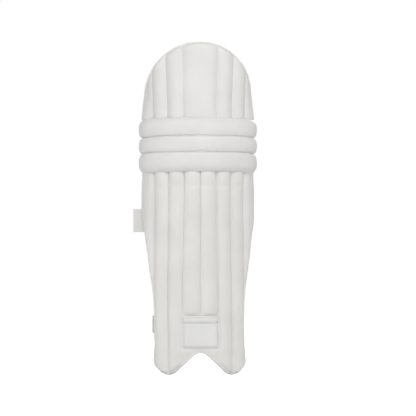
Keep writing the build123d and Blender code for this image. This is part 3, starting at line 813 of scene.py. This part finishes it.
def knee_gusset():
    """Soft leather behind the two seams between the rolls, which opens as the knee bends."""
    stations = np.linspace(12 - ROLL_END, ROLL_END - 12, 80)
    s, z = grid(stations, np.linspace(LOWER_SEAM - 5, UPPER_SEAM + 5, 16))
    crests = (roll_crest(a, KNEE_SEED) for a in stations)
    sunk = np.array([0.95 * crest - fall - 1.2 for crest, _, fall in crests])
    rows, across = s.shape
    corners = [i * across + j for i in range(rows - 1) for j in range(across - 1)]
    faces = [[k, k + 1, k + across + 1, k + across] for k in corners]
    top = np.tile(sunk, rows)
    obj = closed_form("knee_gusset", s.ravel(), z.ravel(), faces, top, top - 1.0,
                      lambda s, z, out: on_wall(s, z + bow(s), out))
    dress(obj, KNEE_MAT)
    bend(obj)


knee_gusset()


# ---------- board, lining and edge binding ----------

BIND_HALF = 1.8  # half the thickness of the binding
QUILT_WIDE, QUILT_TALL = 54.0, 62.0  # between the lining's lines of stitching


def trimmed_pad(inset, step):
    """Grid over the whole pad, trimmed to `inset` inside its edge."""
    u, v = grid(np.arange(-172, 172.1, step), np.arange(-516, 235, step))
    return trimmed(u, v, lambda s, z: edge(s, z, inset), step)


def layer(name, step, top, bottom, mat, nodes):
    """Sheet behind the facing, inside the binding and in one piece over the knee."""
    uu, vv, faces = trimmed_pad(BIND + GAP, step)
    obj = closed_form(name, uu, vv, faces, height_of(top, uu, vv), height_of(bottom, uu, vv))
    dress(obj, mat, None, nodes)
    bend(obj)


def quilt(s, z):
    """Leg side of the lining: puffed between upright and level lines of stitching."""
    across = np.abs(np.sin(math.pi * (np.abs(s) - 18) / QUILT_WIDE))
    up = np.abs(np.sin(math.pi * (z - LOWER_SEAM) / QUILT_TALL))
    puff = (1 - (1 - across) ** 4) * (1 - (1 - up) ** 4)
    return LINING_FACE + 0.9 - 2.3 * puff * dome(-edge(s, z, BIND + GAP), 9.0)


layer("padding_board", 5.0, -GAP, -GAP - BACKING, FOAM_MAT,
      ["shin_backing", "knee_backing", "top_hat_backing"])
layer("leg_lining", 3.4, LINING_OUT, quilt, LINING_MAT,
      ["shin_lining", "knee_lining", "top_hat_lining"])


def edge_loop(inset, step=3.0):
    """Closed line of (s, z) along the pad's edge, evenly spaced."""
    line = rim_line(*trimmed_pad(inset, step), 4)
    closed = np.concatenate([line, line[:1]])
    run = run_along(closed)
    return points_at(np.linspace(0, run[-1], int(run[-1] / step), endpoint=False), run, closed)


def wall_normal(s, z):
    e = 0.5
    up = on_wall(s, z + e, 0) - on_wall(s, z - e, 0)
    across = on_wall(s + e, z, 0) - on_wall(s - e, z, 0)
    return unit(np.cross(across, up))


loop_s, loop_z = edge_loop(BIND_HALF).T
path = on_wall(loop_s, loop_z, (LINING_FACE + BIND_RISE) / 2)
section = oval(BIND_HALF, (BIND_RISE - LINING_FACE) / 2, 20, 0.6)
binding = sweep("edge_binding", path, section, True, wall_normal(loop_s, loop_z))
dress(binding, TRIM_MAT, None, ["shin_binding", "top_hat_binding"])
bend(binding)


# ---------- instep ----------

ROLL_BACK = FACING + GAP  # back of the instep's pieces, which stand in for the facing there
PATCH_Z = -419.0  # middle of the patch
STITCH_LENGTH, STITCH_SPACING, STITCH_R, STITCH_SIDES = 2.6, 3.8, 0.32, 6
STITCH_LIFT = (-0.25, 0.25, 0.38, 0.25, -0.25)
STITCH_SIZE = (0.6, 0.95, 1, 0.95, 0.6)

instep_roll = flat_pad(
    "instep_roll_cover", block(half_u=38.2, mid_v=-384.0, half_v=7.4, corner=5.0),
    np.arange(-40.5, 40.6, 1.5), np.arange(-393, -374.9, 0.8), 1.0,
    lambda s, z, f: ROLL_BACK + 0.4 + 6.6 * dome(f, 7.0) ** 0.8 + 0.2 * ripple(s, z, 9.0, 5.0), ROLL_BACK,
)
dress(instep_roll, FACING_MAT, "shin", ["instep_roll"])

panel_block = block(half_u=38.4, mid_v=-418.6, half_v=27.0, corner=3.0)


def panel_height(s, z, *_):
    """Height of the instep panel, which the patch follows."""
    return ROLL_BACK + 1.6 + 2.2 * dome(-panel_block(s, z), 9.0) + 0.15 * ripple(s, z, 14.0, 8.0)


panel = flat_pad(
    "instep_panel_cover", lambda s, z: np.maximum(panel_block(s, z), edge(s, z, 9.0)),
    np.arange(-40.5, 40.6, 1.6), np.arange(-448, -390, 1.6), 1.6, panel_height, ROLL_BACK,
)
dress(panel, FACING_MAT, "shin", ["instep_panel"])

patch = flat_pad(
    "instep_patch_cover", block(half_u=36.0, mid_v=PATCH_Z, half_v=22.8, corner=3.0),
    np.arange(-38.5, 38.6, 1.5), np.arange(-444, -394.9, 1.5), 1.5,
    lambda s, z, f: panel_height(s, z) + 0.15 + 0.45 * dome(f, 1.2),
    lambda s, z, f: panel_height(s, z) - 0.3,
)
dress(patch, PATCH_MAT, "shin", ["instep_patch"])


def welt(name, z, half, out, radius):
    """Thin corded line across the instep."""
    s = np.linspace(-half, half, 40)
    z = np.full_like(s, z)
    cord = sweep(name, on_wall(s, z, out), oval(radius, radius, 10), False, wall_normal(s, z))
    dress(cord, TRIM_MAT, "shin")


welt("instep_welt_upper", -376.2, 37.0, 3.6, 1.4)
welt("instep_welt_lower", -391.8, 37.4, 3.4, 1.5)


def stitches(name, runs, body):
    """Rows of stitches: each run is a list of (point, normal) in metres."""
    points, faces = [], []
    length, spacing = STITCH_LENGTH * MM, STITCH_SPACING * MM
    for run in runs:
        line, normals = (np.array(part) for part in zip(*run))
        at = run_along(line)
        for start in np.arange(spacing / 2, at[-1] - length, spacing):
            t = start + np.linspace(0, 1, len(STITCH_LIFT)) * length
            middles, ups = points_at(t, at, line), points_at(t, at, normals)
            side = unit(np.cross(unit(middles[-1] - middles[0]), ups[2]))
            faces += tube_faces(len(STITCH_LIFT), STITCH_SIDES, first=len(points))
            for middle, up, lift, size in zip(middles, ups, STITCH_LIFT, STITCH_SIZE):
                ring = oval(STITCH_R * size, STITCH_R * size, STITCH_SIDES)
                points += [middle + up * lift * MM + side * a * MM + up * b * MM for a, b in ring]
    obj = clean(mesh_object(name, points, faces), 0.001)
    dress(obj, THREAD_MAT, body)


def wall_run(start, end):
    """Straight run of stitching over the panel between two places."""
    s, z = np.linspace(start, end, 60).T
    return list(zip(on_wall(s, z, panel_height(s, z) + 0.6), wall_normal(s, z)))


w, low, high = 34.0, PATCH_Z - 21.0, PATCH_Z + 21.0
corners = [(-w, high), (w, high), (w, low), (-w, low), (-w, high)]
stitches("instep_patch_stitching", [wall_run(a, b) for a, b in zip(corners, corners[1:])], "shin")


# ---------- label tab ----------

TAB_Z = -165.0
TAB_ROOT = -(SIDE_X - 4.0)
TAB_END = TAB_ROOT - 4.0 - 17.0 - RISE
TAB_LONG = TAB_ROOT - TAB_END


def tab_place(x, z, out):
    """Stands the tab out from the left wall's rear edge, a little curled."""
    t = (TAB_ROOT - x) / TAB_LONG
    y = -SIDE_EDGE + out + 0.9 * np.sin(t * 3.0) + 0.35 * np.sin(z / 9.0) * t - 1.2 * t
    return np.stack([x, y, z + 0 * x], -1) * MM


tab = flat_pad(
    "label_tab", block(TAB_LONG / 2, TAB_Z, TAB_HEIGHT / 2, 1.2, (TAB_ROOT + TAB_END) / 2),
    np.arange(TAB_END - 1, TAB_ROOT + 1, 1.2), np.arange(-192, -138, 1.6), 1.2,
    lambda x, z, f: 1.1 + 0.15 * dome(f, 2.0), 0.2, tab_place,
)
dress(tab, TAB_MAT, "shin", ["side_label_tab"])


# ---------- bolsters ----------

def bolster_pad(name, x, z, width, height, body, rows):
    """Pad on the lining, x and z its middle, drawn in between its rows of tufts."""
    radius = FRONT_R + BOLSTER_OUT
    left, right = (FRONT_R * math.asin((x + d) / radius) for d in (-width / 2, width / 2))
    pitch = height / rows

    def bottom(s, zz, f):
        up = np.abs(np.sin(math.pi * (zz - z + height / 2) / pitch))
        puff = 0.62 + 0.38 * (1 - (1 - up) ** 2.5)
        return BOLSTER_OUT - 0.8 - (BOLSTER - 1.6) * dome(f, 13.0) * puff - 0.4 * ripple(s, zz, 15.0, x)

    obj = flat_pad(
        name + "_cover", block((right - left) / 2, z, height / 2, 12.0, (left + right) / 2),
        np.arange(left - 2, right + 2, 2.6), np.arange(z - height / 2 - 2, z + height / 2 + 2, 2.6), 2.6,
        BOLSTER_OUT, bottom,
    )
    dress(obj, BOLSTER_MAT, body, [name])


bolster_pad("shin_bolster", 0, -250, 44, 250, "shin", 4)
for side, x in (("left", -60), ("right", 60)):
    bolster_pad(f"calf_bolster_{side}", x, -200, 36, 300, "shin", 5)
for side, x in (("left", -60), ("right", 60)):
    bolster_pad(f"knee_bolster_{side}", x, 72, 44, 90, "top_hat", 2)


# ---------- wings ----------

def wing_outline():
    """The wings' side view, as points of (y, z): rounded, and straight where a strap holds them."""
    marks = []
    for _, height, back, _ in STRAPS:
        marks += [(back, height + STRAP_W / 2), (back, height - STRAP_W / 2)]
    top, bottom = (marks[0][0], WING_TOP), (marks[-1][0], WING_BOTTOM)
    line = [(-BEYOND, WING_TOP), top, *marks[1:-1], bottom, (-BEYOND, WING_BOTTOM)]
    return np.array(rounded(line, WING_ROUND))


WING = wing_outline()
WING_SEAMS = 27  # between a wing's lines of stitching


def wing_field(y, z):
    """Below 0 inside the wing: its side view, back from the lining's inner face."""
    x = WING_IN + WING_DEPTH / 2
    rise = CORNER_R + BOLSTER_OUT
    front = CORNER_Y - math.sqrt(rise**2 - (x - CORNER_X) ** 2) - kick(z) + 3.2
    return np.maximum(polygon_distance(y, z, WING), front - y)


def wing(name, side):
    """Padded wing beside the leg with piping round it; side is -1 on the left and 1 on the right."""
    def place(y, z, out):
        return np.stack([np.full_like(y, side * WING_IN) + side * out, y, z], -1) * MM

    u, v = grid(np.arange(-110, 45, 2.6), np.arange(-444, -56, 3.0))
    uu, vv, faces = trimmed(u, v, wing_field, 2.6)
    lines = np.abs(np.sin(math.pi * (uu - 0.10 * vv + 10) / WING_SEAMS))
    seam = 1 - 0.28 * (1 - lines) ** 4
    half = (WING_DEPTH / 2 - 0.25) * (0.45 + 0.55 * dome(-wing_field(uu, vv), 8.0)) * seam
    panel = closed_form(name + "_panel", uu, vv, faces, WING_DEPTH / 2 + half, WING_DEPTH / 2 - half, place)
    dress(panel, LINING_MAT, "shin", [name])
    line = rim_line(uu, vv, faces, 3)
    line = line + unit(line.mean(0) - line) * 1.2
    path = place(*line.T, WING_DEPTH / 2)
    piping = sweep(name + "_piping", path, oval(1.6, 2.4, 10), True, np.array([[side, 0.0, 0.0]]))
    dress(piping, TRIM_MAT, "shin")


wing("wing_left", -1)
wing("wing_right", 1)


# ---------- straps ----------

WING_OUT = WING_IN + WING_DEPTH
LEFT = -(WING_OUT + STRAP_D)
TIP_IN = WING_OUT + 2 * PILE + GAP
RIGHT = TIP_IN + STRAP_D
STRAP_MID, STRAP_HALF = (LEFT + RIGHT) / 2, (RIGHT - LEFT) / 2
WEB_LEFT, WEB_RIGHT = LEFT + STRAP_D / 2, RIGHT - STRAP_D / 2
ROOT_STEPS = 12  # how many of the arc's 90 points the sewn root takes

# Half of the webbing's section, as shares of its half width and half thickness.
WEB_SECTION = (
    (1, 0), (0.985, 0.62), (0.94, 0.92), (0.8, 1), (0.4, 0.96),
    (0, 1), (-0.4, 0.96), (-0.8, 1), (-0.94, 0.92), (-0.985, 0.62),
)


def webbing(name, line, width, depth, mid_z, nodes):
    """Flat webbing along a plan line of (x, y) in mm, its edges softly rolled."""
    x, y = line.T
    path = np.stack([x, y, np.full_like(x, mid_z)], -1) * MM
    along = np.gradient(path, axis=0)
    normal = np.stack([-along[:, 1], along[:, 0], 0 * along[:, 0]], -1)
    w, d = width / 2, depth / 2
    half = [(a * w, b * d) for a, b in WEB_SECTION]
    obj = sweep(name, path, half + [(-a, -b) for a, b in half], False, normal)
    return dress(obj, WEBBING_MAT, None, nodes)


def box_stitch(name, x, side, y0, y1, mid_z, half, body):
    """Box and cross of stitches on a strap end against a wing."""
    def run(p, q):
        y, z = np.linspace(p, q, 20).T
        points = np.stack([np.full_like(y, x), y, z], -1) * MM
        return [(a, np.array([side, 0.0, 0.0])) for a in points]
    a, b, c, d = (y0, mid_z - half), (y1, mid_z - half), (y1, mid_z + half), (y0, mid_z + half)
    stitches(name, [run(a, b), run(b, c), run(c, d), run(d, a), run(a, c), run(b, d)], body)


def pile(name, part, x, low, high, height, half_z, mat, body):
    """Patch of hook or loop pile on a wing or a strap's free end."""
    obj = flat_pad(
        f"{name}_{part}_pile", block((high - low) / 2, height, half_z, 1.5, (high + low) / 2),
        np.arange(low - 1, high + 1, 1.6), np.arange(height - half_z - 1, height + half_z + 1, 1.6), 1.6,
        lambda y, z, f: 0.75 + 0.3 * dome(f, 1.5) + 0.12 * ripple(y, z, 1.7, 4.0), 0.02,
        lambda y, z, out: np.stack([x + out, y, z], -1) * MM,
    )
    dress(obj, mat, body, [f"{name}_{part}_patch"])


for name, height, back, stand in STRAPS:
    strap, peel = name + "_strap", name + "_strap_end"
    t = np.linspace(math.pi, 0, 90)
    rx, ry = STRAP_HALF - STRAP_D / 2, stand + STRAP_D / 2
    arc = np.stack([STRAP_MID + rx * np.cos(t), back + GAP + ry * np.sin(t)], -1)
    y = np.arange(back - ANCHOR + 0.5, back - 0.5, 3.0)
    line = np.concatenate([np.stack([np.full_like(y, WEB_LEFT), y], -1), arc[: ROOT_STEPS + 2]])
    root = webbing(strap + "_root", line, STRAP_W - 0.4, STRAP_D - 0.2, height, [strap + "_anchor"])
    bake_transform(root)
    y = np.arange(back - 0.5, back - TIP + 0.5, -3.0)
    line = np.concatenate([arc[ROOT_STEPS - 2:], np.stack([np.full_like(y, WEB_RIGHT), y], -1)])
    web = webbing(strap + "_web", line, STRAP_W - 1.4, STRAP_D - 0.8, height,
                  [strap + "_band", strap + "_tip"])
    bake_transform(web)
    pile(name, "hook", TIP_IN - PILE, back - TIP + 5, back - 5, height, STRAP_W / 2 - 2.5, HOOK_MAT, peel)
    pile(name, "loop", WING_OUT, back - TIP, back - GAP, height, STRAP_W / 2 - 0.2, LOOP_MAT, "shin")
    y0, y1 = back - ANCHOR + 5, back - 10
    box_stitch(f"{name}_anchor_stitching", LEFT + 0.1, -1, y0, y1, height, 14, "shin")
    box_stitch(f"{name}_tip_stitching", RIGHT - 0.45, 1, back - TIP + 5, y1, height, 13, peel)


# ---------- floor, light and camera ----------

FLOOR_GAP = 0.0005  # metres under the pad
FLOOR_HALF = 6

low, high = cad_box
floor_z = low[2] - FLOOR_GAP
corners = [(x * FLOOR_HALF, y * FLOOR_HALF, floor_z) for x, y in ((-1, -1), (1, -1), (1, 1), (-1, 1))]
floor = mesh_object("floor", corners, [(0, 1, 2, 3)])
mat, tree, shader = material("floor_paper")
tone = node(tree, "TexNoise", {"Scale": 3.0})
tint(tree, shader, tone.outputs["Fac"], 0.3, 0.7, (0.80, 0.80, 0.80), (0.83, 0.83, 0.83))
shader.inputs["Roughness"].default_value = 0.9
shader.inputs["Specular IOR Level"].default_value = 0.1
rays = node(tree, "LightPath")
glow = node(tree, "Emission", {"Color": (1, 1, 1, 1)})
lit = node(tree, "Math", {0: rays.outputs["Is Camera Ray"], 1: 0.8}, operation="MULTIPLY")
tree.links.new(lit.outputs[0], glow.inputs["Strength"])
both = node(tree, "AddShader", {0: shader.outputs[0], 1: glow.outputs[0]})
tree.links.new(both.outputs[0], tree.nodes["Material Output"].inputs["Surface"])
floor.data.materials.append(mat)

world = bpy.data.worlds.new("studio")
bpy.context.scene.world = world
world.use_nodes = True
tree = world.node_tree
tree.nodes.clear()
rays = node(tree, "LightPath")
mirrored = node(tree, "Math", {0: rays.outputs["Is Glossy Ray"], 1: rays.outputs["Is Transmission Ray"]},
                operation="MAXIMUM")
seen = node(tree, "Math", {0: rays.outputs["Is Camera Ray"], 1: mirrored.outputs[0]}, operation="MAXIMUM")
dim = node(tree, "Background", {"Color": (0.97, 0.96, 0.95, 1), "Strength": 0.40})
white = node(tree, "Background", {"Color": (1, 1, 1, 1), "Strength": 1.0})
mixed = node(tree, "MixShader", {0: seen.outputs[0], 1: dim.outputs[0], 2: white.outputs[0]})
node(tree, "OutputWorld", {"Surface": mixed.outputs[0]})


def lamp(name, place, target, size, power):
    """Round area lamp, in metres and watts."""
    data = bpy.data.lights.new(name, "AREA")
    data.shape, data.size, data.energy = "DISK", size, power
    obj = bpy.data.objects.new(name, data)
    bpy.context.scene.collection.objects.link(obj)
    obj.location = place
    obj.rotation_euler = (Vector(target) - Vector(place)).to_track_quat("-Z", "Y").to_euler()


centre = tuple((a + b) / 2 for a, b in zip(low, high))
mid = centre[2]
lamp("key", (-0.3, -2.0, mid + 1.5), (0, 0, mid + 0.1), 1.0, 18.9)
lamp("fill", (1.2, -2.0, mid + 0.9), (0, 0, mid + 0.2), 1.2, 11.5)
lamp("side", (-1.3, -0.55, mid - 0.5), (0, 0, mid - 0.35), 0.8, 9)
lamp("back", (0.6, 2.2, mid + 1.2), centre, 1.4, 38)

# The photograph's view: a long lens a little to the left of the pad's front.
SENSOR, DISTANCE, VIEW_WIDTH, YAW = 36, 12.0, 0.921, math.radians(-4.2)
PHOTO_WIDTH, SHIFT_PIXELS, AIM_Y, AIM_DROP = 416, 10.4, -0.02, 0.0005

camera = bpy.data.cameras.new("camera")
camera.sensor_width = SENSOR
camera.lens = SENSOR * DISTANCE / VIEW_WIDTH
camera.shift_x = SHIFT_PIXELS / PHOTO_WIDTH
view = bpy.data.objects.new("camera", camera)
bpy.context.scene.collection.objects.link(view)
view.location = (math.sin(YAW) * DISTANCE, AIM_Y - math.cos(YAW) * DISTANCE, mid - AIM_DROP)
view.rotation_euler = (math.pi / 2, 0, YAW)
bpy.context.scene.camera = view
bpy.context.scene.view_settings.view_transform = "Standard"
